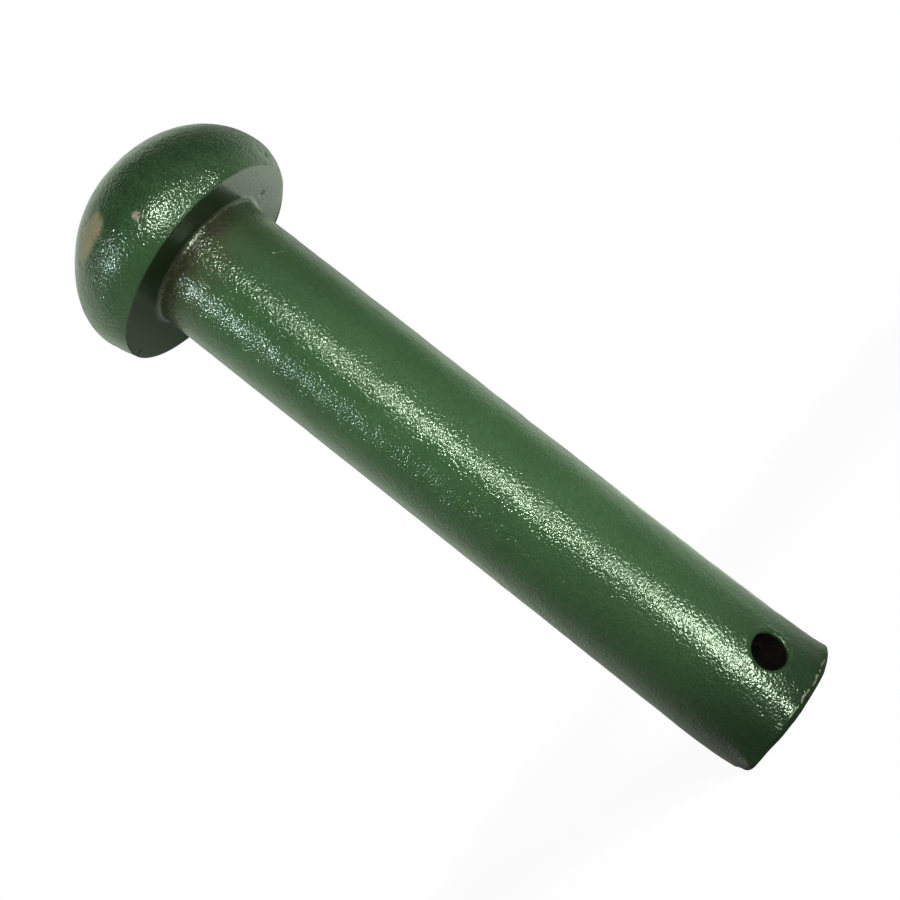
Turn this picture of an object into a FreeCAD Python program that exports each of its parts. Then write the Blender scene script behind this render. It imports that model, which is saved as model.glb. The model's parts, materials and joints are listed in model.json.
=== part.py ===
"""A forged steel pin with a domed head and a cross hole for a split pin.

The pin stands on its free end: the origin is the centre of that end, +Z runs up the
shank to the head, and the cross hole runs along Y. All sizes are in millimetres.
"""
import FreeCAD
import Part
import math
import os

# Shank
shank_diameter = 25.0
shank_length = 125.0      # from the free end up to the head's flat underside
end_chamfer = 0.9         # 45 degree break round the free end
neck_fillet = 0.8         # where the shank runs into the underside of the head

# Head
head_diameter = 43.5      # across its widest part
head_height = 21.0        # from the underside to the top of the crown
flare_height = 5.0        # from the underside up to the widest part
seat_inset = 1.85         # how far the underside's edge lies inside the widest part
seat_edge_radius = 0.5    # the rounding of that edge
crown_fullness = 0.57     # 0.55 is a plain half ellipse, and more is a flatter, fuller crown

# Cross hole
hole_diameter = 6.3
hole_from_end = 9.5       # from the free end to the hole's centre line
hole_edge_radius = 0.35   # the rounding of each of its two mouths

Z_AXIS = FreeCAD.Vector(0, 0, 1)
Y_AXIS = FreeCAD.Vector(0, 1, 0)
AXIS_POINT = FreeCAD.Vector(0, 0, 0)


def in_section(radius, height):
    """The point of the pin's half section at this radius and height, in the XZ plane."""
    return FreeCAD.Vector(radius, 0, height)


def line(start, end):
    return Part.LineSegment(start, end).toShape()


def bezier(*poles):
    curve = Part.BezierCurve()
    curve.setPoles(list(poles))
    return curve.toShape()


def revolved(edges):
    """The solid that a closed half section sweeps round the pin's axis."""
    face = Part.Face(Part.Wire(edges))
    return face.revolve(AXIS_POINT, Z_AXIS, 360)


def half_section():
    """Round the section: free end, shank, underside, flared rim, crown and back down the axis.

    The rim leans out from the underside and stands upright at its widest. The crown
    leaves it upright and arrives level on the axis, so the head has no edge there.
    """
    shank_radius = shank_diameter / 2
    head_radius = head_diameter / 2
    widest = shank_length + flare_height
    top = shank_length + head_height
    dome_height = top - widest

    end_centre = in_section(0, 0)
    end_edge = in_section(shank_radius, 0)
    neck = in_section(shank_radius, shank_length)
    seat_edge = in_section(head_radius - seat_inset, shank_length)
    rim = in_section(head_radius, widest)
    crown = in_section(0, top)

    flare_lean = in_section(head_radius, widest - flare_height / 2)
    dome_side = in_section(head_radius, widest + crown_fullness * dome_height)
    dome_top = in_section(crown_fullness * head_radius, top)

    return [
        line(end_centre, end_edge),
        line(end_edge, neck),
        line(neck, seat_edge),
        bezier(seat_edge, flare_lean, rim),
        bezier(rim, dome_side, dome_top, crown),
        line(crown, end_centre),
    ]


def ring_edges(solid, radius, height):
    """The solid's round edges of this radius that lie level at this height."""
    found = []
    for edge in solid.Edges:
        box = edge.BoundBox
        level = abs(box.ZMin - height) < 1e-6 and abs(box.ZMax - height) < 1e-6
        if level and abs(box.XMax - radius) < 1e-6:
            found.append(edge)
    return found


def headed_blank():
    """The pin as it leaves the forge and the lathe, before it is drilled."""
    shank_radius = shank_diameter / 2
    seat_radius = head_diameter / 2 - seat_inset
    blank = revolved(half_section())
    blank = blank.makeChamfer(end_chamfer, ring_edges(blank, shank_radius, 0))
    blank = blank.makeFillet(neck_fillet, ring_edges(blank, shank_radius, shank_length))
    return blank.makeFillet(seat_edge_radius, ring_edges(blank, seat_radius, shank_length))


def cross_hole(overshoot=1.0):
    """The drill's path, straight through the shank and clear of it on both sides."""
    reach = shank_diameter / 2 + overshoot
    start = FreeCAD.Vector(0, -reach, hole_from_end)
    return Part.makeCylinder(hole_diameter / 2, 2 * reach, start, Y_AXIS)


def mouth_edges(solid):
    """The two saddle shaped edges where the cross hole breaks out of the shank."""
    hole_radius = hole_diameter / 2
    found = []
    for edge in solid.Edges:
        box = edge.BoundBox
        centred = abs(box.Center.z - hole_from_end) < 0.01 * hole_radius
        as_high = abs(box.ZLength - hole_diameter) < 0.01 * hole_diameter
        if centred and as_high and box.YLength < hole_radius:
            found.append(edge)
    return found


def headed_pin():
    drilled = headed_blank().cut(cross_hole())
    return drilled.makeFillet(hole_edge_radius, mouth_edges(drilled))


pin = headed_pin()
os.makedirs("parts", exist_ok=True)
pin.exportStep("parts/headed_pin.step")
print("headed_pin: valid", pin.isValid(), "solids", len(pin.Solids), "volume", round(pin.Volume, 1), "mm3")
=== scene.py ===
# %% [markdown]
# # A forged pin under a coat of green paint
# The object is one steel forging: a domed head, a plain shank and one cross hole near the
# free end. What makes it look real isn't its outline, which a lathe could turn in a minute.
# It is the thick sprayed coat, pebbled like orange peel, that softens every edge, has run
# into a bead round the hole, and has worn through where the head has been struck.

# %% The frame that the pin is built in
import json
import math

import bmesh
import bpy
import numpy as np
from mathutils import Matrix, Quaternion, Vector


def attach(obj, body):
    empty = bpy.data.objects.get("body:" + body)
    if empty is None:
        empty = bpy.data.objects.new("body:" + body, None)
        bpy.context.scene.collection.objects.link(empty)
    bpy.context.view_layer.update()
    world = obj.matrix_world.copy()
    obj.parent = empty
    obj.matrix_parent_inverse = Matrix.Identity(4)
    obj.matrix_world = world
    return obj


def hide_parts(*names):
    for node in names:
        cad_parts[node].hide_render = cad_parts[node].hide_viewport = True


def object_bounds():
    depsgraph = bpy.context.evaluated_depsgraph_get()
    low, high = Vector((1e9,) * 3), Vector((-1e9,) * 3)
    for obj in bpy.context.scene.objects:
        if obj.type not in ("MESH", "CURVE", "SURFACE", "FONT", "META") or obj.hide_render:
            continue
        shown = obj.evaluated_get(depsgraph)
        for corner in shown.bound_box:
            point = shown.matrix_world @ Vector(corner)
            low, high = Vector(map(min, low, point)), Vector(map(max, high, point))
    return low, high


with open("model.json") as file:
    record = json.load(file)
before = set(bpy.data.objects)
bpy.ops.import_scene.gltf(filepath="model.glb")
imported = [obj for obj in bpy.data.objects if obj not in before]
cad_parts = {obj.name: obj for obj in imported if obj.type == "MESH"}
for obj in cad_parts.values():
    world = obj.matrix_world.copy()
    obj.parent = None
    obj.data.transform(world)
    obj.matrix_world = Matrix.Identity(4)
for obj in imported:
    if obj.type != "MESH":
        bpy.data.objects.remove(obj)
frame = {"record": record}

MM = 0.001
cad_low, cad_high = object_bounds()
print("frame box in mm:", [round(x / MM, 2) for x in (*cad_low, *cad_high)])

# %% [markdown]
# ## Sizes
# The frame gives the sizes that other parts depend on: the head's radius and the total
# height from its box, the shank and the cross hole from its mounts. The small ones, such as
# the flare under the rim, are the forging's own, and are named here.

# %% Sizes from the frame, in metres
mounts = {mount["name"]: mount for mount in frame["record"]["mounts"]}
SHANK_RADIUS = mounts["shank"]["dims"]["r_mm"] * MM
HOLE_RADIUS = mounts["split_pin_hole"]["dims"]["r_mm"] * MM
HOLE_HEIGHT = mounts["split_pin_hole"]["pos_m"][2]
SEAT_HEIGHT = mounts["head_seat"]["pos_m"][2]
HEAD_RADIUS = cad_high.x
TOP = cad_high.z

# %% The forging's smaller sizes
END_CHAMFER = 0.9 * MM
NECK_FILLET = 0.9 * MM        # paint has gathered in the corner
SEAT_INSET = 1.85 * MM        # how far the underside's edge lies inside the rim
FLARE_HEIGHT = 5.0 * MM       # from the underside up to the rim
CROWN_FULLNESS = 0.57
PAINT_SOFTENING = 0.16 * MM   # how far the coat rounds every edge under it
print("shank", SHANK_RADIUS, "head", HEAD_RADIUS, "seat at", SEAT_HEIGHT, "top at", TOP)

# %% [markdown]
# ## The half section
# A turned or forged round part is fully told by half of its section. It could be drawn as a
# spline by eye, but a smith's gauge is made of straight lines and two curves, so it is
# written the same way here. The coat of paint then softens it: paint pulls away from sharp
# edges and fills sharp corners, which is what a weighted average along the line does.

# %% Lines and curves of the section
FINE_STEP = 0.05 * MM


def bezier(poles, steps):
    """Points of the curve: the sum over the poles of binomial(n, k) t^k (1 - t)^(n - k) pole k."""
    poles = np.array(poles)
    degree = len(poles) - 1
    t = np.linspace(0, 1, steps)[:, None]
    shares = [math.comb(degree, k) * t**k * (1 - t) ** (degree - k) for k in range(degree + 1)]
    return sum(share * pole for share, pole in zip(shares, poles))


def stretch(*poles):
    """A stretch of the section through its poles, as points about a fine step apart."""
    reach = np.linalg.norm(np.diff(np.array(poles), axis=0), axis=1).sum()
    return bezier(poles, max(3, int(reach / FINE_STEP)))


rim_height = SEAT_HEIGHT + FLARE_HEIGHT
dome_height = TOP - rim_height
seat_radius = HEAD_RADIUS - SEAT_INSET
stretches = {
    "end face": stretch((0, 0), (SHANK_RADIUS - END_CHAMFER, 0)),
    "chamfer": stretch((SHANK_RADIUS - END_CHAMFER, 0), (SHANK_RADIUS, END_CHAMFER)),
    "shank": stretch((SHANK_RADIUS, END_CHAMFER), (SHANK_RADIUS, SEAT_HEIGHT - NECK_FILLET)),
    "neck": stretch(
        (SHANK_RADIUS, SEAT_HEIGHT - NECK_FILLET),
        (SHANK_RADIUS, SEAT_HEIGHT),
        (SHANK_RADIUS + NECK_FILLET, SEAT_HEIGHT),
    ),
    "underside": stretch((SHANK_RADIUS + NECK_FILLET, SEAT_HEIGHT), (seat_radius, SEAT_HEIGHT)),
    "flare": stretch(
        (seat_radius, SEAT_HEIGHT),
        (HEAD_RADIUS, rim_height - FLARE_HEIGHT / 2),
        (HEAD_RADIUS, rim_height),
    ),
    "dome": stretch(
        (HEAD_RADIUS, rim_height),
        (HEAD_RADIUS, rim_height + CROWN_FULLNESS * dome_height),
        (CROWN_FULLNESS * HEAD_RADIUS, TOP),
        (0, TOP),
    ),
}

# %% One line, evenly divided, and softened by the paint
outline = np.concatenate([points[:-1] for points in stretches.values()] + [[(0, TOP)]])
steps_along = np.linalg.norm(np.diff(outline, axis=0), axis=1)
along = np.concatenate([[0], np.cumsum(steps_along)])
lengths = {name: np.linalg.norm(np.diff(p, axis=0), axis=1).sum() for name, p in stretches.items()}
ends = dict(zip(lengths, np.cumsum(list(lengths.values()))))

even = np.linspace(0, along[-1], int(along[-1] / FINE_STEP))
section = np.stack([np.interp(even, along, outline[:, 0]), np.interp(even, along, outline[:, 1])], 1)


def softened(line, reach):
    """Each point becomes the average of its neighbours, weighted by exp(-d^2 / (2 reach^2)).

    Past the pin's axis the line goes on as its own mirror image, so it stays level there.
    """
    near = int(4 * reach / FINE_STEP)
    mirror = np.array([-1, 1])
    longer = np.concatenate([line[near:0:-1] * mirror, line, line[-2 : -near - 2 : -1] * mirror])
    weights = np.exp(-0.5 * (np.arange(-near, near + 1) * FINE_STEP / reach) ** 2)
    weights /= weights.sum()
    return np.stack([np.convolve(column, weights, "valid") for column in longer.T], 1)


section = softened(section, PAINT_SOFTENING)
print("section", round(along[-1] / MM, 1), "mm long,", len(section), "points")

# %% [markdown]
# ## Where the rings of the mesh go
# The section is spun on a grid: columns round the axis, rings along the section. Small forms
# need close rings and the plain shank doesn't, so each stretch has its own spacing. A band
# round the cross hole is divided so that its cells are square, because the hole's own mesh
# has to be let into it.

# %% Places of the rings along the section
COLUMNS = 192
WINDOW = 36                                       # cells along each side of the hole's square
CELL = 2 * math.pi * SHANK_RADIUS / COLUMNS
EDGE_ZONE = 0.6 * MM
half_window = WINDOW * CELL / 2
height_to_along = ends["chamfer"] - END_CHAMFER   # on the shank: place along = height + this

ring_stops = [
    (ends["end face"] - EDGE_ZONE, 0.8 * MM),
    (ends["chamfer"] + EDGE_ZONE, 0.15 * MM),
    (HOLE_HEIGHT - half_window + height_to_along, 0.4 * MM),
    (HOLE_HEIGHT + half_window + height_to_along, CELL),
    (ends["shank"] - 3 * EDGE_ZONE, 0.62 * MM),
    (ends["neck"] + EDGE_ZONE / 2, 0.13 * MM),
    (ends["underside"] - EDGE_ZONE, 0.45 * MM),
    (ends["underside"] + EDGE_ZONE, 0.12 * MM),
    (ends["flare"], 0.3 * MM),
    (ends["dome"], 0.5 * MM),
]


def even_stops(stops):
    """Places from 0 on: each stretch runs to its stop in even steps of about its own size."""
    places = [np.zeros(1)]
    start = 0.0
    for stop, step in stops:
        count = max(1, round((stop - start) / step))
        places.append(np.linspace(start, stop, count + 1)[1:])
        start = stop
    return np.concatenate(places)


rings = even_stops(ring_stops)
ring_radius = np.interp(rings, even, section[:, 0])
ring_height = np.interp(rings, even, section[:, 1])
print(len(rings), "rings of", COLUMNS, "columns")

# %% [markdown]
# ## The surface of revolution
# The first and last rings shrink to the two poles, which are one point each, so that the
# surface is closed. Everything between them is one grid of quads.

# %% The grid
turn = 2 * math.pi * np.arange(COLUMNS) / COLUMNS
body_radius = ring_radius[1:-1, None]
grid = np.stack(
    [
        body_radius * np.cos(turn),
        body_radius * np.sin(turn),
        np.broadcast_to(ring_height[1:-1, None], (len(rings) - 2, COLUMNS)),
    ],
    2,
)
grid_id = np.arange(grid.shape[0] * COLUMNS).reshape(grid.shape[:2])
first_window_ring = int(np.argmin(np.abs(ring_height[1:-1] - (HOLE_HEIGHT - half_window))))


def quads_between(lower, upper):
    """Quads between two closed rings of point numbers: lower i, lower i+1, upper i+1, upper i."""
    after = (np.roll(lower, -1, -1), np.roll(upper, -1, -1))
    return np.stack([lower, after[0], after[1], upper], -1)


body_quads = quads_between(grid_id[:-1], grid_id[1:])

# %% Leaving out the cells where the cross hole comes through
near_column = COLUMNS * 3 // 4 - WINDOW // 2      # the mouth on the -Y side, a quarter turn back
far_column = COLUMNS // 4 - WINDOW // 2           # the mouth on the +Y side
keep = np.ones(body_quads.shape[:2], bool)
window_rings = slice(first_window_ring, first_window_ring + WINDOW)
keep[window_rings, near_column : near_column + WINDOW] = False
keep[window_rings, far_column : far_column + WINDOW] = False
body_quads = body_quads[keep]
print("grid quads", len(body_quads))

# %% [markdown]
# ## The cross hole
# A boolean would leave long thin triangles round a saddle shaped mouth, and they would show
# in the gloss. Instead the mouth is a set of rings that change, step by step, from the
# square window in the grid to the drill's circle laid on the cylinder. A rolled lip follows,
# as thick as the paint, and then the drill's own straight wall.

# %% Rings of the mouth, the lip and the bore
LIP = 0.5 * MM                # the rounding of the mouth, paint included
MOUTH_RINGS = 16
LIP_RINGS = 7
BORE_RINGS = 24


def window_edge():
    """The window's edge as (round, up) offsets in cells, one full turn from its low corner."""
    half = WINDOW // 2
    run = np.arange(-half, half)
    level = np.full(WINDOW, half)
    across = np.concatenate([run, level, -run, -level])
    up = np.concatenate([-level, run, level, -run])
    return across, up


edge_across, edge_up = window_edge()
edge_turn = np.arctan2(edge_up, edge_across)      # the angle round the hole of each edge point


def mouth_rings():
    """From the square to the lip: each ring is a mix of the square and the lip's outer circle.

    Both are written as (angle round the shank, height), so every ring lies on the cylinder.
    """
    circle = HOLE_RADIUS + LIP
    inner = np.stack([np.arcsin(circle * np.cos(edge_turn) / SHANK_RADIUS), circle * np.sin(edge_turn)])
    outer = np.stack([edge_across * 2 * math.pi / COLUMNS, edge_up * CELL])
    share = np.linspace(0, 1, MOUTH_RINGS + 1)[:-1] ** 1.25
    turned, risen = inner[:, None] * (1 - share[:, None]) + outer[:, None] * share[:, None]
    return np.stack(
        [SHANK_RADIUS * np.sin(turned), -SHANK_RADIUS * np.cos(turned), HOLE_HEIGHT + risen], 2
    )


def lip_rings():
    """A quarter round: with t from 0 to 90 degrees, the distance from the hole's axis is
    radius + lip (1 - sin t), and the ring sinks by lip (1 - cos t) from the cylinder."""
    t = np.linspace(0, math.pi / 2, LIP_RINGS + 1)[1:, None]
    distance = HOLE_RADIUS + LIP * (1 - np.sin(t))
    across = distance * np.cos(edge_turn)
    depth = np.sqrt(SHANK_RADIUS**2 - across**2) - LIP * (1 - np.cos(t))
    return np.stack([across, -depth, HOLE_HEIGHT + distance * np.sin(edge_turn)], 2)


def bore_rings(mouth):
    """From the lip straight in along the drill's axis to the middle of the shank."""
    left = np.linspace(1, 0, BORE_RINGS + 1)[1:, None]
    return np.stack([np.tile(mouth[:, 0], (BORE_RINGS, 1)), mouth[:, 1] * left,
                     np.tile(mouth[:, 2], (BORE_RINGS, 1))], 2)


from_edge_in = mouth_rings()[::-1]
lip = lip_rings()
bore = bore_rings(lip[-1])
near_mouth = np.concatenate([from_edge_in, lip, bore])
far_mouth = near_mouth * np.array([-1, -1, 1])    # the other side is the same, half a turn on
print("hole rings", len(near_mouth), "of", len(edge_turn), "points on each side")

# %% All points and faces together
poles = np.array([[0, 0, ring_height[0]], [0, 0, ring_height[-1]]])
points = np.concatenate([grid.reshape(-1, 3), near_mouth.reshape(-1, 3), far_mouth.reshape(-1, 3), poles])
PAINTED = 0
DRILLED = 1


def hole_faces(first_point, first_column):
    """The quads of one side of the hole, from the grid's window edge inwards, and their finish."""
    edge_ring = first_window_ring + WINDOW // 2 + edge_up
    edge_column = (first_column + WINDOW // 2 + edge_across) % COLUMNS
    loops = first_point + np.arange(near_mouth[..., 0].size).reshape(near_mouth.shape[:2])
    loops = np.concatenate([grid_id[edge_ring, edge_column][None], loops])
    quads = quads_between(loops[1:], loops[:-1])
    finish = np.full(quads.shape[:2], PAINTED)
    finish[MOUTH_RINGS + LIP_RINGS :] = DRILLED
    return quads.reshape(-1, 4), finish.ravel()


near_quads, near_finish = hole_faces(grid_id.size, near_column)
far_quads, far_finish = hole_faces(grid_id.size + near_mouth[..., 0].size, far_column)
low_pole = len(points) - 2
low_fan = np.stack([np.full(COLUMNS, low_pole), np.roll(grid_id[0], -1), grid_id[0]], 1)
top_fan = np.stack([np.full(COLUMNS, low_pole + 1), grid_id[-1], np.roll(grid_id[-1], -1)], 1)

# %% [markdown]
# ## The mesh, and its skin of dents and swellings
# Two things make a forging look forged. Its surface swells and sinks by a few hundredths of
# a millimetre, which bends the highlights, and its edges have been knocked. Both are moves
# of the mesh itself along its own normals, worked out for all points at once.

# %% Putting the faces into a mesh
mesh = bpy.data.meshes.new("painted_pin")
face_sets = (body_quads, near_quads, far_quads, low_fan, top_fan)
all_faces = [face for faces in face_sets for face in faces.tolist()]
mesh.from_pydata(points.tolist(), [], all_faces)
finish = np.zeros(len(all_faces), np.int32)
hole_start = len(body_quads)
finish[hole_start : hole_start + len(near_finish)] = near_finish
finish[hole_start + len(near_finish) : hole_start + 2 * len(near_finish)] = far_finish
mesh.polygons.foreach_set("material_index", finish)

# %% Closing the seams, with every face turned outwards
welded = bmesh.new()
welded.from_mesh(mesh)
bmesh.ops.remove_doubles(welded, verts=welded.verts, dist=MM / 1000)
bmesh.ops.recalc_face_normals(welded, faces=welded.faces)
open_edges = sum(not edge.is_manifold for edge in welded.edges)
welded.to_mesh(mesh)
welded.free()
print("mesh", len(mesh.vertices), "points,", len(mesh.polygons), "faces,", open_edges, "open edges")


# %% Swellings of the forged skin
def ripples(where, wavelength, height, seed, waves=28):
    """Plane waves in random directions, cos(2 pi (p . way) / length + start), added up.

    Their lengths spread round the wavelength, and the sum's typical size is the height.
    """
    draw = np.random.default_rng(seed)
    ways = draw.normal(size=(3, waves))
    ways /= np.linalg.norm(ways, axis=0)
    spans = wavelength * draw.uniform(0.7, 1.5, waves)
    starts = draw.uniform(0, 2 * math.pi, waves)
    return height * np.cos(2 * math.pi * (where @ ways) / spans + starts).sum(1) / math.sqrt(waves / 2)


def bump_at(where, centre, reach, height):
    """A round swelling, or a dent where the height is negative: height exp(-d^2 / (2 reach^2))."""
    gap = np.linalg.norm(where - np.array(centre) * MM, axis=1)
    return height * MM * np.exp(-0.5 * (gap / (reach * MM)) ** 2)


# %% The skin's waves, as (length in mm, height in mm, random seed)
SKIN_WAVES = [(9, 0.016, 3), (3.2, 0.010, 5), (1.9, 0.004, 8)]
UNDERSIDE_CALM = 0.85                       # the underside of the head is that much flatter

# %% Broad swellings and hollows of the hammered head, as (place in mm, reach in mm, height in mm)
SWELLINGS = [
    ((-17.5, 0.5, 139.5), 6.0, -0.50),      # the dome is flatter on this side
    ((19.2, 4.0, 125.4), 4.0, 0.30),        # and its rim a little fuller on this one
    ((18.3, -11.2, 128.5), 5.0, 0.22),
    ((-20.6, 7.6, 128.5), 5.5, 0.38),
    ((8.8, -9.5, 124.3), 0.9, 0.26),        # lumps of paint in the corner of the neck
    ((11.3, -6.6, 124.6), 0.7, -0.10),
    ((12.7, -3.2, 124.0), 1.0, 0.48),
]

# %% Knocks and chips, as (place in mm, reach in mm, height in mm)
KNOCKS = [
    ((14.6, -15.0, 126.6), 0.45, -0.30),    # nick on the rim
    ((13.4, -16.3, 127.2), 0.35, -0.18),
    ((13.0, -7.6, 125.0), 0.30, -0.15),     # nick in the underside
    ((-12.7, -17.6, 130.5), 0.40, -0.05),   # paint chip on the side of the head
    ((-19.9, -7.6, 133.5), 0.35, -0.07),
    ((1.3, -12.4, 113.3), 0.25, 0.06),      # the raised end of a scratch
    ((-5.3, -10.8, 0.5), 0.40, -0.22),      # nick in the end's edge
    ((8.4, -8.9, 0.4), 0.50, -0.12),
    ((-16.4, 11.4, 125.0), 0.60, -0.20),    # chipped corner of the underside
]

# %% Moving every point along its normal
count = len(mesh.vertices)
place = np.empty(count * 3, np.float32)
mesh.vertices.foreach_get("co", place)
place = place.reshape(-1, 3).astype(float)
outward = np.empty(count * 3, np.float32)
mesh.vertex_normals.foreach_get("vector", outward)
outward = outward.reshape(-1, 3).astype(float)

lift = np.zeros(count)
for wavelength, height, seed in SKIN_WAVES:
    lift += ripples(place, wavelength * MM, height * MM, seed)
for centre, reach, height in SWELLINGS:
    lift += bump_at(place, centre, reach, height)
faces_down = np.clip(-4 * outward[:, 2] - 3, 0, 1)
lift *= 1 - UNDERSIDE_CALM * faces_down
for centre, reach, height in KNOCKS:
    lift += bump_at(place, centre, reach, height)
print("knocks and swellings:", len(SWELLINGS) + len(KNOCKS))

# %% The bead of paint round the hole's mouth
BEAD_OUT = 0.82 * MM
BEAD_WIDTH = 0.25 * MM
BEAD_PROUD = 0.19 * MM
from_hole_x = place[:, 0]
from_hole_z = place[:, 2] - HOLE_HEIGHT
from_hole = np.hypot(from_hole_x, from_hole_z)
round_hole = np.arctan2(from_hole_z, from_hole_x)
lumpy = 0.18 * np.cos(5 * round_hole + 1) * np.cos(3 * round_hole)
heavier_side = 0.55 + 0.45 * np.cos(round_hole - 0.6) + lumpy
on_outside = np.hypot(place[:, 0], place[:, 1]) > SHANK_RADIUS - 0.2 * MM
wander = ripples(place, 2.0 * MM, 0.12 * MM, seed=11)
beads = 1 + ripples(place, 1.3 * MM, 0.45, seed=12)
bead = np.exp(-0.5 * ((from_hole - HOLE_RADIUS - BEAD_OUT + wander) / BEAD_WIDTH) ** 2)
lift += BEAD_PROUD * bead * heavier_side * np.maximum(beads, 0) * on_outside

place += outward * lift[:, None]

# %% [markdown]
# ## Where use has changed the shape
# The rim isn't even: on one side the hammer has driven its underside's edge out almost to
# the full radius. At the free end, one side has spread a little, one corner has been rubbed
# round, and the edge is battered: driven out in some places, worn back in others. Each is a
# move towards the axis or away from it, and eases to nothing to both hands.

# %% How much of a change a side takes
angle = np.arctan2(place[:, 1], place[:, 0])


def on_side(side, reach):
    """cos^2 of the angle from that side, stretched so that it ends at the reach (degrees)."""
    gap = np.angle(np.exp(1j * (angle - math.radians(side))))
    return np.cos(np.clip(gap / math.radians(reach), -1, 1) * math.pi / 2) ** 2


def room_to_full(radius, full, inset, start):
    """How far each point can move out: the inset at the foot of a slanted edge, less up the
    slant, where it is near the full radius, and less on the flat, down to none at the start."""
    on_flat = inset * np.clip((radius - start) / (full - inset - start), 0, 1)
    return np.clip(full - radius, 0, on_flat)


# %% Sides that have changed, as (azimuth, reach) in degrees
RIM_DRIVEN_OUT = (108, 90)
CHAMFER_DRIVEN_OUT = (-178, 34)
END_SPREAD = (-30, 50)
END_RUBBED = (122, 55)
MOST = 0.95                                 # how much of the room to the full radius is taken

# %% The driven out rim, and the end's side without a chamfer
radius = np.hypot(place[:, 0], place[:, 1])
height = place[:, 2]
on_rim = (height > SEAT_HEIGHT - 0.5 * MM) & (height < rim_height)
rim_room = room_to_full(radius, HEAD_RADIUS, SEAT_INSET, 14 * MM) * on_rim
rim_move = MOST * on_side(*RIM_DRIVEN_OUT) * rim_room
on_end = height < END_CHAMFER
end_room = room_to_full(radius, SHANK_RADIUS, END_CHAMFER, 9.5 * MM) * on_end
end_move = MOST * on_side(*CHAMFER_DRIVEN_OUT) * end_room

# %% How the free end's edge is battered, as (azimuth, how far out in mm) all the way round
EDGE_MOVES = [
    (-180, 0.3), (-174, 1.0), (-168, 1.6), (-165, 1.8), (-161, 1.3), (-155, 0.75), (-149, 0.55),
    (-139, 0.75), (-132, 0.55), (-127, 0.2), (-120, 0.4), (-113, 0.3), (-107, -0.24), (-90, -0.4),
    (-80, -0.15), (-72, 0), (-58, -0.36), (-42, -0.28), (-30, 0.2), (-15, 0), (140, 0),
    (152, -0.3), (168, -0.35), (180, 0.3),
]

# %% The spread side, the worn corner and the battered edge of the free end
above_end = np.maximum(height, 0) / MM
flare = 0.42 * np.exp(-above_end / 3) + 0.5 * np.exp(-above_end / 16)
spread = MM * flare * on_side(*END_SPREAD)
rubbed = MM * 1.45 * np.exp(-above_end / 3.2) * on_side(*END_RUBBED)
from_axis = (spread - rubbed) * radius / SHANK_RADIUS * (height < SEAT_HEIGHT / 2)
near_edge = np.clip((radius - 9 * MM) / (2.5 * MM), 0, 1)
edge_azimuths, edge_moves = np.array(EDGE_MOVES).T
azimuth = np.degrees(angle)
nearby = [
    np.interp(azimuth + aside, edge_azimuths, edge_moves, period=360)
    for aside in (-3, 0, 3)
]
battered = MM * np.mean(nearby, axis=0) * near_edge * np.exp(-above_end / 4.0)

# %% All of these moves together
outwards = place[:, :2] / np.maximum(radius, MM / 100)[:, None]
place[:, :2] += outwards * (rim_move + end_move + from_axis + battered)[:, None]
moves = (rim_move, end_move, spread, rubbed, battered)
print("largest moves in mm:", [round(float(move.max()) / MM, 2) for move in moves])

# %% Keeping the skin inside the frame's box
place = np.clip(place, np.array(cad_low), np.array(cad_high))
mesh.vertices.foreach_set("co", place.astype(np.float32).ravel())
mesh.polygons.foreach_set("use_smooth", np.ones(len(mesh.polygons), bool))
mesh.update()
pin = bpy.data.objects.new("painted_pin", mesh)
bpy.context.scene.collection.objects.link(pin)
mesh.calc_loop_triangles()
print("triangles", len(mesh.loop_triangles))

# %% [markdown]
# ## Helpers for the finishes
# A finish is a chain of nodes. It could be built by hand in the shader editor, but then nobody
# could read it as text. These helpers keep each step to a line: one adds a node and joins its
# inputs, some do sums, and one mixes two colours by a mask.

# %% Small node helpers
COLOUR_A = 6
COLOUR_B = 7
COLOUR_OUT = 2


def put(socket, value):
    """Joins a socket to another one, or sets it to a plain value."""
    if isinstance(value, bpy.types.NodeSocket):
        socket.id_data.links.new(value, socket)
    else:
        socket.default_value = value


def add(tree, kind, inputs=None, **settings):
    """A new node of this kind, with its settings and its inputs by name or number."""
    made = tree.nodes.new("ShaderNode" + kind)
    for name, value in settings.items():
        setattr(made, name, value)
    for name, value in (inputs or {}).items():
        put(made.inputs[name], value)
    return made


def sum_of(tree, operation, *values, clamp=False):
    """The result of this operation on the values."""
    inputs = dict(enumerate(values))
    return add(tree, "Math", inputs, operation=operation, use_clamp=clamp).outputs[0]


def product(tree, first, *factors, clamp=False):
    """All factors multiplied, one after the other, each step clamped to 0 to 1 where asked."""
    for factor in factors:
        first = sum_of(tree, "MULTIPLY", first, factor, clamp=clamp)
    return first


def factor_on(tree, mask, gain):
    """A factor that is 1 where the mask is 0, and 1 plus the gain where it is 1."""
    return sum_of(tree, "MULTIPLY_ADD", mask, gain, 1.0)


# %% Colours and vectors
def mixed(tree, share, first, second):
    """The first colour where the share is 0, the second where it is 1."""
    inputs = {0: share, COLOUR_A: first, COLOUR_B: second}
    return add(tree, "Mix", inputs, data_type="RGBA").outputs[COLOUR_OUT]


def vectors(tree, operation, first, second):
    """The outputs of an operation on two vectors: a vector, or a distance or dot as Value."""
    return add(tree, "VectorMath", {0: first, 1: second}, operation=operation).outputs


def scaled(tree, vector, factor):
    """The vector or the colour times a factor."""
    return add(tree, "VectorMath", {0: vector, "Scale": factor}, operation="SCALE").outputs[0]


def ramp_between(tree, value, low, high, to_low=0.0, to_high=1.0):
    """A soft step: the value's way from low to high, eased, and spread over the new range."""
    inputs = {"Value": value, "From Min": low, "From Max": high, "To Min": to_low, "To Max": to_high}
    return add(tree, "MapRange", inputs, interpolation_type="SMOOTHSTEP").outputs["Result"]


def split(tree, vector):
    """The X, Y and Z of a vector."""
    return add(tree, "SeparateXYZ", {0: vector}).outputs


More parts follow.
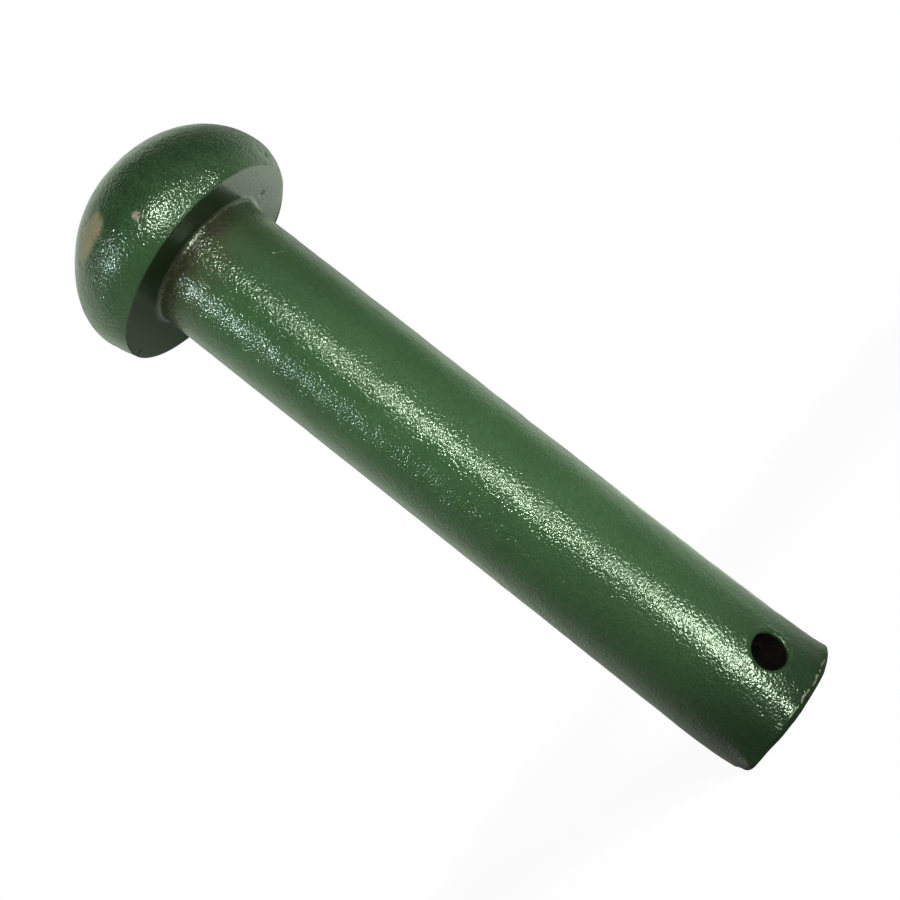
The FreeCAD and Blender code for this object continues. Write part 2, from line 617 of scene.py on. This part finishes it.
# %% Making and using a node group
def new_group(name, inputs, outputs):
    """An empty group that takes the place and these inputs: its tree, and both ends' sockets."""
    tree = bpy.data.node_groups.new(name, "ShaderNodeTree")
    for socket_name, value in {"Place": (0, 0, 0), **inputs}.items():
        kind = "NodeSocketVector" if isinstance(value, tuple) else "NodeSocketFloat"
        socket = tree.interface.new_socket(socket_name, in_out="INPUT", socket_type=kind)
        socket.default_value = value
    for socket_name in outputs:
        tree.interface.new_socket(socket_name, in_out="OUTPUT", socket_type="NodeSocketFloat")
    ends = tree.nodes.new("NodeGroupInput").outputs, tree.nodes.new("NodeGroupOutput").inputs
    return tree, *ends


def use_group(tree, group, inputs):
    """The outputs of a group that is placed in this tree with these inputs."""
    made = tree.nodes.new("ShaderNodeGroup")
    made.node_tree = group
    for name, value in inputs.items():
        put(made.inputs[name], value)
    return made.outputs


def bumped(tree, height):
    """The normal of a skin whose height is in millimetres."""
    inputs = {"Height": height, "Distance": MM, "Strength": 1.0}
    return add(tree, "Bump", inputs).outputs["Normal"]


# %% [markdown]
# ## Shared effects
# Both finishes, the paint and the drilled steel, have a grain, blotches and ragged spots, and
# the paint has nibs of dust and a scratch besides. They could be painted on an image, but a
# noise in the round has no seam. Each is a node group built once, and all of them take the
# place in millimetres, so a pebble of 0.45 means 0.45 mm on the real pin.

# %% A noise of a given size
def noise(tree, where, size, detail, roughness=0.5):
    """A noise round 0.5, whose blobs have about this size."""
    inputs = {"Vector": where, "Scale": sum_of(tree, "DIVIDE", 1.0, size), "Detail": detail,
              "Roughness": roughness}
    return add(tree, "TexNoise", inputs).outputs[0]


def either_side(tree, value):
    """The noise spread from about -1 to 1."""
    return sum_of(tree, "MULTIPLY_ADD", value, 4.0, -2.0)


# %% The pebbled grain
def build_grain():
    """Height in mm of a pebbled skin: a noise of the pebble's size, and a finer one on it.

    The level is the same without the depth: about -1 in the pits, 1 on the pebbles.
    """
    tree, given, result = new_group("pebbled_grain", {"Pebble": 0.45, "Depth": 0.03}, ["Height", "Level"])
    broad = noise(tree, given["Place"], given["Pebble"], 1.0, 0.45)
    fine = noise(tree, given["Place"], sum_of(tree, "DIVIDE", given["Pebble"], 2.3), 0.0)
    both = sum_of(tree, "MULTIPLY_ADD", fine, 0.12, broad)
    put(result["Height"], product(tree, both, given["Depth"]))
    put(result["Level"], sum_of(tree, "MULTIPLY_ADD", both, 5.0, -2.8))
    return tree


grain = build_grain()


# %% Blotches
def build_blotches():
    """A shade round 1: 1 plus the contrast times a noise from -1 to 1 of the given size."""
    tree, given, result = new_group("blotches", {"Size": 8.0, "Contrast": 0.1}, ["Shade"])
    swing = either_side(tree, noise(tree, given["Place"], given["Size"], 3.0))
    put(result["Shade"], factor_on(tree, swing, given["Contrast"]))
    return tree


blotches = build_blotches()


def blotchy(tree, where, size, contrast):
    """The shade of blotches of this size in millimetres."""
    return use_group(tree, blotches, {"Place": where, "Size": size, "Contrast": contrast})[0]


# %% Ragged spots
def build_ragged_spot():
    """1 inside a ball round the centre and 0 outside, its edge shifted by a noise."""
    sizes = {"Centre": (0, 0, 0), "Radius": 1.0, "Ragged": 0.3, "Grain": 0.5}
    tree, given, result = new_group("ragged_spot", sizes, ["Mask"])
    gap = vectors(tree, "DISTANCE", given["Place"], given["Centre"])["Value"]
    swing = either_side(tree, noise(tree, given["Place"], given["Grain"], 3.0))
    shifted = sum_of(tree, "MULTIPLY_ADD", swing, given["Ragged"], gap)
    share = sum_of(tree, "DIVIDE", shifted, given["Radius"])
    put(result["Mask"], ramp_between(tree, share, 1.1, 0.75))
    return tree


ragged_spot = build_ragged_spot()


# %% Nibs of dust under the coat
def build_nibs():
    """Round bumps, 1 at the tip: one in each cell of the spacing, but only in some cells."""
    tree, given, result = new_group("nibs", {"Spacing": 4.0, "Radius": 0.15}, ["Height"])
    scale = sum_of(tree, "DIVIDE", 1.0, given["Spacing"])
    cells = add(tree, "TexVoronoi", {"Vector": given["Place"], "Scale": scale})
    gap = product(tree, cells.outputs["Distance"], given["Spacing"])
    share = sum_of(tree, "DIVIDE", gap, given["Radius"])
    chosen = sum_of(tree, "GREATER_THAN", split(tree, cells.outputs["Color"])[0], 0.45)
    put(result["Height"], product(tree, ramp_between(tree, share, 1.4, 0.2), chosen))
    return tree


nibs = build_nibs()


# %% A scratch
def build_scratch():
    """1 on the line from a start along a way: the distance to the nearest point of the line,
    start + way clamp((p - start) . way / way^2), is compared with the width."""
    sizes = {"Start": (0, 0, 0), "Way": (1, 0, 0), "Width": 0.1}
    tree, given, result = new_group("scratch", sizes, ["Mask"])
    way = given["Way"]
    gone = vectors(tree, "SUBTRACT", given["Place"], given["Start"])[0]
    along_way = vectors(tree, "DOT_PRODUCT", gone, way)["Value"]
    way_squared = vectors(tree, "DOT_PRODUCT", way, way)["Value"]
    share = sum_of(tree, "DIVIDE", along_way, way_squared, clamp=True)
    gap = vectors(tree, "DISTANCE", gone, scaled(tree, way, share))["Value"]
    in_widths = sum_of(tree, "DIVIDE", gap, given["Width"])
    put(result["Mask"], ramp_between(tree, in_widths, 1.2, 0.4))
    return tree


scratch = build_scratch()
print("groups:", sorted(group.name for group in bpy.data.node_groups))

# %% [markdown]
# ## The green coat
# The real coat is one thick sprayed layer of semi-gloss enamel. It could be a flat green
# with a sheen, but then it would look like plastic. What tells it apart is the pebbled
# skin, which breaks each highlight into sparks, the small drift in colour, the brownish
# tint where it went on thin at the neck, and the bare patch on the crown.

# %% A new finish, with the place in millimetres
def new_finish(name):
    """A material with a Principled shader, and the place on the pin in millimetres."""
    material = bpy.data.materials.new(name)
    material.use_nodes = True
    tree = material.node_tree
    shader = tree.nodes["Principled BSDF"]
    coordinates = add(tree, "TexCoord")
    in_mm = scaled(tree, coordinates.outputs["Object"], 1 / MM)
    return material, tree, shader, coordinates, in_mm


# %% Colours of the coat and of what shows through it, linear
GREEN = (0.045, 0.105, 0.040, 1)
THIN_BROWN = (0.026, 0.026, 0.013, 1)
THIN_OLIVE = (0.064, 0.080, 0.036, 1)
BARE_TAN = (0.270, 0.240, 0.130, 1)
PRIMER_PINK = (0.300, 0.230, 0.180, 1)
SOOT = (0.006, 0.008, 0.006, 1)
PALE_EDGE = (0.300, 0.330, 0.220, 1)

# %% Chips and marks on the coat, as (place in mm, radius in mm, colour)
CHIPS = [
    ((-12.9, -17.5, 130.6), 0.75, PRIMER_PINK),
    ((-12.6, -17.7, 130.4), 0.20, SOOT),
    ((-19.9, -7.6, 133.5), 0.30, SOOT),
    ((13.0, -7.6, 125.0), 0.35, SOOT),
    ((14.4, -15.0, 126.6), 0.50, SOOT),
    ((-16.4, 11.4, 125.0), 0.75, SOOT),
    ((1.3, -12.4, 113.3), 0.22, PALE_EDGE),
]
SCRATCH = {"Start": (1.3, -12.4, 113.3), "Way": (1.7, 0.3, -0.8), "Width": 0.10}
BARE_PATCH = {"Start": (-16.0, -11.9, 136.5), "Way": (-2.0, 4.3, 0.5), "Width": 2.9}

# %% Pebbles and nibs of the coat in millimetres, and how the enamel takes the light
PEBBLE_SIZE = 0.44
PEBBLE_DEPTH = 0.125
NIB_SPACING = 4.5
NIB_RADIUS = 0.16
NIB_HEIGHT = 0.07
ENAMEL_ROUGHNESS = 0.145
ENAMEL_IOR = 1.6
ENAMEL_GLOSS_TINT = (0.86, 1.0, 0.80, 1)


# %% Where the coat is thin, bare or chipped
def bare_share(tree, where):
    """The rubbed patch on the crown: an oblong with a ragged edge, cloudy, never quite bare."""
    along_patch = use_group(tree, scratch, {"Place": where, **BARE_PATCH})[0]
    ragged = product(tree, along_patch, blotchy(tree, where, 1.6, 0.30))
    share = ramp_between(tree, ragged, 0.05, 0.95, 0.0, 0.94)
    return product(tree, share, blotchy(tree, where, 2.6, 0.16), clamp=True)


def thin_share(tree, where, z, x, depth_below, contrast):
    """The tint under the head: full at the seat, gone at that depth below it, blotchy, and
    fading out to the right, where the spray reached better."""
    seat = SEAT_HEIGHT / MM
    tint = ramp_between(tree, z, seat - depth_below, seat - 0.15 * depth_below)
    below_seat = ramp_between(tree, z, seat + 0.02, seat - 0.15)
    patches = blotchy(tree, where, 2.4, contrast)
    specks = blotchy(tree, where, 0.6, 0.45)
    left = ramp_between(tree, x, 12.0, -5.0, 0.15, 1.0)
    return product(tree, tint, patches, specks, below_seat, left, clamp=True)


def edge_share(tree, where, z, x):
    """The pale line where the coat is rubbed off the end's edge: wavy, in dabs, and only in front."""
    higher_left = ramp_between(tree, x, 2.0, -8.0, 0.95, 1.25)
    line_height = product(tree, higher_left, blotchy(tree, where, 2.2, 0.30))
    gap = sum_of(tree, "ABSOLUTE", sum_of(tree, "SUBTRACT", z, line_height))
    dabs = sum_of(tree, "MINIMUM", blotchy(tree, where, 1.1, 2.2), 1.4)
    line = ramp_between(tree, sum_of(tree, "SUBTRACT", gap, product(tree, dabs, 0.14)), 0.06, -0.12)
    left_end = ramp_between(tree, x, -8.5, -6.5)
    right_end = ramp_between(tree, x, 9.0, 1.0, 0.25)
    return product(tree, line, left_end, right_end, 0.8, clamp=True)


# %% The pebbled skin of the coat
def coat_pebbles(tree, where, on_head, on_underside):
    """The grain's height and level: deeper on the head, and almost none on its underside."""
    uneven = blotchy(tree, where, 4.0, 0.3)
    calm = factor_on(tree, on_underside, -0.80)
    deeper = factor_on(tree, on_head, 0.45)
    depth = product(tree, PEBBLE_DEPTH, calm, uneven, deeper)
    return use_group(tree, grain, {"Place": where, "Pebble": PEBBLE_SIZE, "Depth": depth})


# %% The shade of the green
def coat_shade(tree, where, z, level, on_head, on_underside):
    """Drifts in the green, with painted shade in the pits of the pebbles and painted light on
    their tops, painted shade on the crown and on the underside, and darker towards the free
    end. The clouds are on the head alone."""
    drift = product(tree, blotchy(tree, where, 14.0, 0.11), blotchy(tree, where, 0.9, 0.09))
    clouds = blotchy(tree, where, 3.0, product(tree, on_head, 0.2))
    # painted shade in the pebbles' pits and painted light on their tops, stronger on the head
    pits = factor_on(tree, level, sum_of(tree, "MULTIPLY_ADD", on_head, 0.12, 0.10))
    # the green darkens towards the free end
    darker_towards_end = ramp_between(tree, z, 23.0, 0.0, 1.0, 0.5)
    # painted shade on the underside of the head
    painted_underside_shade = factor_on(tree, on_underside, -0.40)
    # painted shade: the green darkens up the head towards the crown
    painted_crown_shade = ramp_between(tree, z, 124.5, 134.0, 1.0, 0.62)
    return product(tree, drift, clouds, darker_towards_end, painted_underside_shade, pits, painted_crown_shade)


# %% The layers of colour, from the green up to the chips
def coat_colour(tree, where, z, x, shade, thin, bare):
    """The green, browned where it is thin, with the bare patch and the chips over it, and a
    mask of all that is worn through."""
    colour = scaled(tree, GREEN[:3], shade)
    olive = thin_share(tree, where, z, x, 13.0, 0.25)
    colour = mixed(tree, product(tree, olive, 0.75), colour, THIN_OLIVE)
    colour = mixed(tree, thin, colour, THIN_BROWN)
    colour = mixed(tree, bare, colour, BARE_TAN)
    worn_through = bare
    for centre, radius, chip_colour in CHIPS:
        size = {"Centre": centre, "Radius": radius, "Ragged": radius * 0.6, "Grain": 0.3}
        chip = use_group(tree, ragged_spot, {"Place": where, **size})[0]
        colour = mixed(tree, chip, colour, chip_colour)
        worn_through = sum_of(tree, "MAXIMUM", worn_through, chip)
    return colour, worn_through


# %% The sheen
def coat_roughness(tree, where, z, matt_parts):
    """The enamel's own roughness, uneven, and more of it on each part that is matt."""
    roughness = product(tree, blotchy(tree, where, 5.0, 0.12), ENAMEL_ROUGHNESS)
    handled = ramp_between(tree, z, 50.0, 5.0)
    for mask, gain in (*matt_parts, (handled, 0.06)):
        roughness = sum_of(tree, "MULTIPLY_ADD", mask, gain, roughness)
    return roughness


# %% Building the green coat
def green_coat():
    """The enamel: all of its parts joined to one shader."""
    material, tree, shader, coordinates, where = new_finish("green_enamel")
    x, _, z = split(tree, where)
    facing_up = split(tree, coordinates.outputs["Normal"])[2]
    on_underside = ramp_between(tree, facing_up, -0.8, -0.95)
    on_head = ramp_between(tree, z, 124.9, 129.0)

    pebbles = coat_pebbles(tree, where, on_head, on_underside)
    shade = coat_shade(tree, where, z, pebbles["Level"], on_head, on_underside)
    thin = thin_share(tree, where, z, x, 5.5, 0.25)
    bare = bare_share(tree, where)
    colour, worn_through = coat_colour(tree, where, z, x, shade, thin, bare)
    line = use_group(tree, scratch, {"Place": where, **SCRATCH})[0]
    edge = sum_of(tree, "MAXIMUM", edge_share(tree, where, z, x), product(tree, line, 0.6))
    put(shader.inputs["Base Color"], mixed(tree, edge, colour, PALE_EDGE))

    matt_parts = [(worn_through, 0.3), (thin, 0.1), (edge, 0.3), (on_underside, 0.16)]
    put(shader.inputs["Roughness"], coat_roughness(tree, where, z, matt_parts))
    put(shader.inputs["Specular IOR Level"], sum_of(tree, "MULTIPLY_ADD", on_underside, -0.2, 0.5))

    nib = use_group(tree, nibs, {"Place": where, "Spacing": NIB_SPACING, "Radius": NIB_RADIUS})[0]
    height = sum_of(tree, "MULTIPLY_ADD", nib, NIB_HEIGHT, pebbles["Height"])
    put(shader.inputs["Normal"], bumped(tree, height))
    shader.inputs["IOR"].default_value = ENAMEL_IOR
    shader.inputs["Specular Tint"].default_value = ENAMEL_GLOSS_TINT
    return material


# %% [markdown]
# ## The drilled wall
# The hole was drilled before painting, and the spray reached only its mouth. Inside is bare
# steel gone brown with rust: rough and blotchy, darkened almost to black by painted shade,
# and redder in one patch of painted light.

# %% Building the drilled wall
RUST = (0.220, 0.080, 0.055, 1)
# painted shade: the rust almost black
RUST_IN_PAINTED_SHADE = (0.014, 0.010, 0.008, 1)
# painted light: one redder patch of rust
PAINTED_LIGHT_ON_RUST = {"Centre": (2.9, -7.6, 11.2), "Radius": 1.3, "Ragged": 1.1, "Grain": 0.8}


def drilled_wall():
    """Rust darkened almost to black by painted shade, with one redder patch of painted light
    where the light comes in.
    """
    material, tree, shader, _, where = new_finish("rusted_bore")
    patch = use_group(tree, ragged_spot, {"Place": where, **PAINTED_LIGHT_ON_RUST})[0]
    rust = scaled(tree, RUST[:3], blotchy(tree, where, 0.8, 0.4))
    put(shader.inputs["Base Color"], mixed(tree, patch, RUST_IN_PAINTED_SHADE, rust))
    crust = use_group(tree, grain, {"Place": where, "Pebble": 0.7, "Depth": 0.25})
    put(shader.inputs["Normal"], bumped(tree, crust["Height"]))
    shader.inputs["Roughness"].default_value = 0.65
    shader.inputs["Specular IOR Level"].default_value = 0.15
    return material


mesh.materials.append(green_coat())
mesh.materials.append(drilled_wall())
print("finishes:", [material.name for material in mesh.materials])

# %% The pin takes the place of the plain solid
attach(pin, "root")
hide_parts("headed_pin")

# %% [markdown]
# ## The camera
# The photograph was taken from close by with the camera turned on its side, so that the pin
# lies across the frame. The pin here stands on its free end, as it would on a shelf, so the
# camera looks level at it and is rolled instead. Its lens axis doesn't meet the middle of
# the photograph exactly, which the small shift follows.

# %% A direction
def pointing(azimuth, elevation=0):
    """The unit vector (cos e cos a, cos e sin a, sin e) of an azimuth and an elevation in degrees."""
    a = math.radians(azimuth)
    e = math.radians(elevation)
    return (math.cos(e) * math.cos(a), math.cos(e) * math.sin(a), math.sin(e))


# %% Setting up the camera
IMAGE_SIDE = 900
LENS_AXIS_PIXEL = (470, 495)            # where the lens axis meets the photograph
CAMERA_AZIMUTH = -121.47                # degrees, seen from what it aims at
CAMERA_ELEVATION = -4.81
CAMERA_ROLL = math.radians(-51.67)
CAMERA_DISTANCE = 210.8 * MM
CAMERA_AIM = Vector((-3.55, 1.36, 63.29)) * MM
LENS = 49.46                            # on a sensor 36 mm wide

camera_data = bpy.data.cameras.new("camera")
camera_data.lens = LENS
camera_data.sensor_width = 36
camera_data.shift_x = 0.5 - LENS_AXIS_PIXEL[0] / IMAGE_SIDE
camera_data.shift_y = LENS_AXIS_PIXEL[1] / IMAGE_SIDE - 0.5
camera_data.clip_start = 10 * MM
camera_data.clip_end = 20
camera = bpy.data.objects.new("camera", camera_data)
back = Vector(pointing(CAMERA_AZIMUTH, CAMERA_ELEVATION))
camera.location = CAMERA_AIM + back * CAMERA_DISTANCE
camera.rotation_mode = "QUATERNION"
upright = (-back).to_track_quat("-Z", "Y")
camera.rotation_quaternion = upright @ Quaternion((0, 0, 1), CAMERA_ROLL)
bpy.context.scene.collection.objects.link(camera)
bpy.context.scene.camera = camera
print("camera at", [round(x / MM, 1) for x in camera.location])

# %% [markdown]
# ## The studio
# The photograph has a pure white background and a dim room behind the camera. A gloss shows
# its surroundings, so both matter: white behind the pin brightens its edges, and the dim
# room keeps its front deep green. The sky is white to the camera all round, and to the
# gloss it is white on the backdrop's side and fades to dim on the other.

# %% The sky, as (degrees to the right of straight behind the pin, level)
BACKDROP_AZIMUTH = 58.5                 # straight behind the pin, as the camera sees it
SKY_STOPS = [
    (-180, 0.04), (-130, 0.05), (-110, 0.12), (-91, 0.38), (-72, 0.78), (-50, 0.95), (-25, 0.85),
    (-12, 0.38), (0, 0.15), (12, 0.45), (25, 0.88), (45, 1.2), (70, 0.33), (90, 0.13),
    (106, 0.12), (121, 0.40), (135, 0.50), (150, 0.28), (163, 0.04), (180, 0.04),
]
UPPER_RIGHT_LOSS = 0.7                  # how much darker it is high up on the right
OVERHEAD = 0.4                          # what is left of it straight above
GLOW_AT = (BACKDROP_AZIMUTH, 47)        # where the backdrop is lit from above: azimuth, elevation
GLOW_COSINES = (0.86, 0.985)            # from the glow's outer edge to its full part
GLOW_LEVEL = 0.95
SKY_ON_MATT = 0.27                      # the part of it that lights the matt colours
WHITE = (1, 1, 1, 1)
GLOSS_TINT = (0.87, 1.0, 0.83, 1)


def cosine_to(tree, way, azimuth, elevation=0):
    """The cosine of the angle between a unit vector and that direction."""
    return vectors(tree, "DOT_PRODUCT", way, pointing(azimuth, elevation))["Value"]


def level_ramp(tree, way, ramp_stops):
    """A ramp of grey levels over the angle, to the right, from straight behind the pin."""
    to_right = cosine_to(tree, way, BACKDROP_AZIMUTH - 90)
    to_back = cosine_to(tree, way, BACKDROP_AZIMUTH)
    turned = sum_of(tree, "ARCTAN2", to_right, to_back)
    ramp = add(tree, "ValToRGB", {"Fac": sum_of(tree, "MULTIPLY_ADD", turned, 0.5 / math.pi, 0.5)})
    stops = ramp.color_ramp.elements
    while len(stops) < len(ramp_stops):
        stops.new(1.0)
    for stop, (degrees, level) in zip(stops, ramp_stops):
        stop.position = degrees / 360 + 0.5
        stop.color = (level, level, level, 1)
    return ramp.outputs["Color"]


def light_path(tree):
    """1 for the camera's own rays, and 1 for those that a gloss or a glass sends out."""
    path = add(tree, "LightPath").outputs
    sharp = sum_of(tree, "MAXIMUM", path["Is Glossy Ray"], path["Is Transmission Ray"])
    return path["Is Camera Ray"], sharp


# %% Painting the sky
world = bpy.data.worlds.new("studio")
world.use_nodes = True
bpy.context.scene.world = world
tree = world.node_tree
by_camera, by_gloss = light_path(tree)
way = add(tree, "TexCoord").outputs["Generated"]
rise = split(tree, way)[2]
on_right = ramp_between(tree, cosine_to(tree, way, BACKDROP_AZIMUTH - 90), -0.3, 0.3)
upper_right = product(tree, ramp_between(tree, rise, 0.05, 0.65), on_right)
whiteness = product(
    tree,
    level_ramp(tree, way, SKY_STOPS),
    factor_on(tree, upper_right, -UPPER_RIGHT_LOSS),
    ramp_between(tree, rise, 0.8, 1.0, 1.0, OVERHEAD),
)
glow = ramp_between(tree, cosine_to(tree, way, *GLOW_AT), *GLOW_COSINES, 0.0, GLOW_LEVEL)
whiteness = sum_of(tree, "MAXIMUM", whiteness, glow)
level = sum_of(tree, "MULTIPLY_ADD", by_gloss, 1 - SKY_ON_MATT, SKY_ON_MATT)
strength = sum_of(tree, "MAXIMUM", product(tree, whiteness, level), by_camera)
put(tree.nodes["Background"].inputs["Strength"], strength)
put(tree.nodes["Background"].inputs["Color"], mixed(tree, by_gloss, WHITE, GLOSS_TINT))
print("sky levels at", len(SKY_STOPS), "directions")

# %% [markdown]
# ## The floor
# The floor is pale and plain. Without one the pin would float, and a plain white one would
# go grey in the dim room. So the camera sees it lifted to white, as in the photograph, the
# gloss sees painted light on it, as on a table lit from one side, with a painted shadow of
# the pin, and the light that really reaches it comes on top, so that the pin's shadow stays.

# %% Laying the floor
FLOOR_REACH = 3.0                       # metres from the middle to each side
FLOOR_HEIGHT = -0.02 * MM
FLOOR_COLOUR = (0.35, 0.35, 0.35, 1)
FLOOR_SEEN = (0.92, 1.0)                # how white the camera sees it, near the pin and far away
# painted shadow at the pin's foot, for the gloss
FLOOR_PAINTED_SHADOW_LEVEL = 0.4                    # how much of its level the gloss sees right at the pin
corners = np.array([(-1, -1, 0), (1, -1, 0), (1, 1, 0), (-1, 1, 0)]) * FLOOR_REACH
corners[:, 2] = FLOOR_HEIGHT
floor_mesh = bpy.data.meshes.new("floor")
floor_mesh.from_pydata(corners.tolist(), [], [(0, 1, 2, 3)])
floor = bpy.data.objects.new("floor", floor_mesh)
bpy.context.scene.collection.objects.link(floor)
print("floor", 2 * FLOOR_REACH, "m wide")

# %% The floor's painted light as the gloss sees it, dark in the pin's painted shadow straight behind, as (degrees to the right of straight behind, level)
FLOOR_STOPS = [
    (-180, 0.0), (-120, 0.04), (-91, 0.32), (-72, 0.55), (-47, 0.6), (-30, 0.3), (-12, 0.5),
    (-7.8, 0.5), (-6.3, 0.14), (-4.9, 0.02), (-3.5, 0.02), (4.9, 0.02), (6.3, 0.6), (7.8, 2.5),
    (11, 2.4), (30, 0.8), (46, 0.9), (70, 0.9), (90, 0.2), (120, 0.02), (180, 0.0),
]

# %% Finishing the floor
floor_finish = bpy.data.materials.new("pale_floor")
floor_finish.use_nodes = True
floor_finish.cycles.emission_sampling = "NONE"
tree = floor_finish.node_tree
by_camera, by_gloss = light_path(tree)
on_floor = add(tree, "TexCoord").outputs["Object"]
from_centre = add(tree, "VectorMath", {0: on_floor}, operation="NORMALIZE").outputs[0]
reach = add(tree, "VectorMath", {0: on_floor}, operation="LENGTH").outputs["Value"]
# painted light on the floor and the pin's painted shadow, which only the gloss sees
painted_pin_shadow = ramp_between(tree, reach, 0.02, 0.14, FLOOR_PAINTED_SHADOW_LEVEL, 1.0)
painted_floor_light = product(tree, level_ramp(tree, from_centre, FLOOR_STOPS), painted_pin_shadow, by_gloss)
lifted = product(tree, by_camera, ramp_between(tree, reach, 0.15, 0.6, *FLOOR_SEEN))
strength = sum_of(tree, "MAXIMUM", painted_floor_light, lifted)
floor_shader = tree.nodes["Principled BSDF"]
floor_shader.inputs["Base Color"].default_value = FLOOR_COLOUR
floor_shader.inputs["Roughness"].default_value = 1.0
floor_shader.inputs["Specular IOR Level"].default_value = 0.0
put(floor_shader.inputs["Emission Color"], mixed(tree, by_gloss, WHITE, GLOSS_TINT))
put(floor_shader.inputs["Emission Strength"], strength)
floor_mesh.materials.append(floor_finish)
print("floor levels at", len(FLOOR_STOPS), "directions")

# %% [markdown]
# ## The lamps
# Each highlight on a round shank says where its lamp stood, because the surface there faces
# halfway between the camera and the lamp. One tall lamp would give a streak that is even all
# the way, but the real one wanders and changes in strength, so a leaning row of small lamps
# close by makes it. The bluish streak comes from small lamps higher up on the left, and fades
# down the shank. Three narrow spots give the head its own highlights. These lamps make only
# highlights. The plain light on the paint comes from soft lamps that make none, as a bright
# room would.


# %% Hanging a lamp
def on_pin(x, y, z):
    """A point to aim at, in mm."""
    return Vector((x, y, z)) * MM


def around(azimuth, distance, height):
    """A point this far from the pin's axis and this high, in mm: (d cos a, d sin a, h)."""
    x, y, _ = pointing(azimuth)
    return on_pin(distance * x, distance * y, height)


def hang(name, kind, place, aim, power, colour, **settings):
    """A lamp at a place, turned to where it aims, that the camera doesn't see."""
    lamp = bpy.data.lights.new(name, kind)
    lamp.energy = power
    lamp.color = colour
    for key, value in settings.items():
        setattr(lamp, key, value)
    holder = bpy.data.objects.new(name, lamp)
    holder.location = place
    holder.rotation_mode = "QUATERNION"
    holder.rotation_quaternion = (aim - place).to_track_quat("-Z", "Y")
    holder.visible_camera = False
    bpy.context.scene.collection.objects.link(holder)
    return holder


def hang_spot(name, place, aim, power, colour, cone, blend, size):
    """A spot lamp, with its cone in degrees and its own size in mm."""
    return hang(name, "SPOT", place, aim, power, colour, spot_size=math.radians(cone),
                spot_blend=blend, shadow_soft_size=size * MM)


# %% The row of lamps of the broad streak, as (azimuth, distance, height, width, watts)
PALE_GREEN = (0.93, 1.0, 0.92)
PALE_BLUE = (0.76, 0.84, 1.0)
ROW = [
    (-105, 60, 6, 20, 0.024),
    (-104, 150, 12, 20, 0.058),
    (-113, 150, 70, 19, 0.098),
    (-116, 150, 128, 18, 0.060),
]
glints = [
    hang(f"row_lamp_{number}", "AREA", around(azimuth, distance, height), on_pin(0, 0, height),
         power, PALE_GREEN, shape="DISK", size=width * MM)
    for number, (azimuth, distance, height, width, power) in enumerate(ROW)
]

# %% The other lamps that make highlights: place, aim, watts, colour, cone, blend and size
HIGH_LEFT = around(-179, 460, 370)
CROWN_BLUE = (0.70, 0.84, 1.0)
glints += [
    hang_spot("high_left_lamp", HIGH_LEFT, on_pin(0, 0, 118), 1.7, PALE_BLUE, 20, 1.0, 12),
    hang_spot("middle_left_lamp", around(-177, 460, 250), on_pin(0, 0, 100), 1.2, PALE_BLUE, 20, 1.0, 12),
    hang_spot("crown_lamp", around(-114, 150, 124), on_pin(-9, -19, 131), 0.26, PALE_GREEN, 11, 0.5, 4),
    hang_spot("crown_left_lamp", HIGH_LEFT, on_pin(-19, -8, 134), 3.2, CROWN_BLUE, 5, 0.6, 24),
    hang_spot("rim_lamp", around(-68, 150, 51), on_pin(-2, -20, 128), 0.16, PALE_GREEN, 18, 0.6, 4),
]
for lamp in glints:
    lamp.visible_diffuse = False

# %% The lamps that light the paint
NEUTRAL = (1.0, 1.0, 1.0)
COOL = (0.95, 0.98, 1.0)
fills = [
    hang("front_fill", "AREA", around(-97, 400, 115), on_pin(0, 0, 70), 0.73, NEUTRAL,
         shape="RECTANGLE", size=150 * MM, size_y=150 * MM),
    hang_spot("left_fill", around(-170, 420, 118), on_pin(0, 0, 112), 3.5, COOL, 22, 0.8, 40),
    hang_spot("right_fill", around(-89, 420, 50), on_pin(0, 0, 48), 4.3, NEUTRAL, 24, 0.7, 60),
    hang_spot("back_fill", around(60, 500, 130), on_pin(0, 0, 75), 4.5, NEUTRAL, 24, 0.5, 100),
]
for lamp in fills:
    lamp.visible_glossy = False
print("lamps:", sorted(light.name for light in bpy.data.lights))

# %% Closing: the look of the picture
bpy.context.scene.view_settings.view_transform = "Standard"
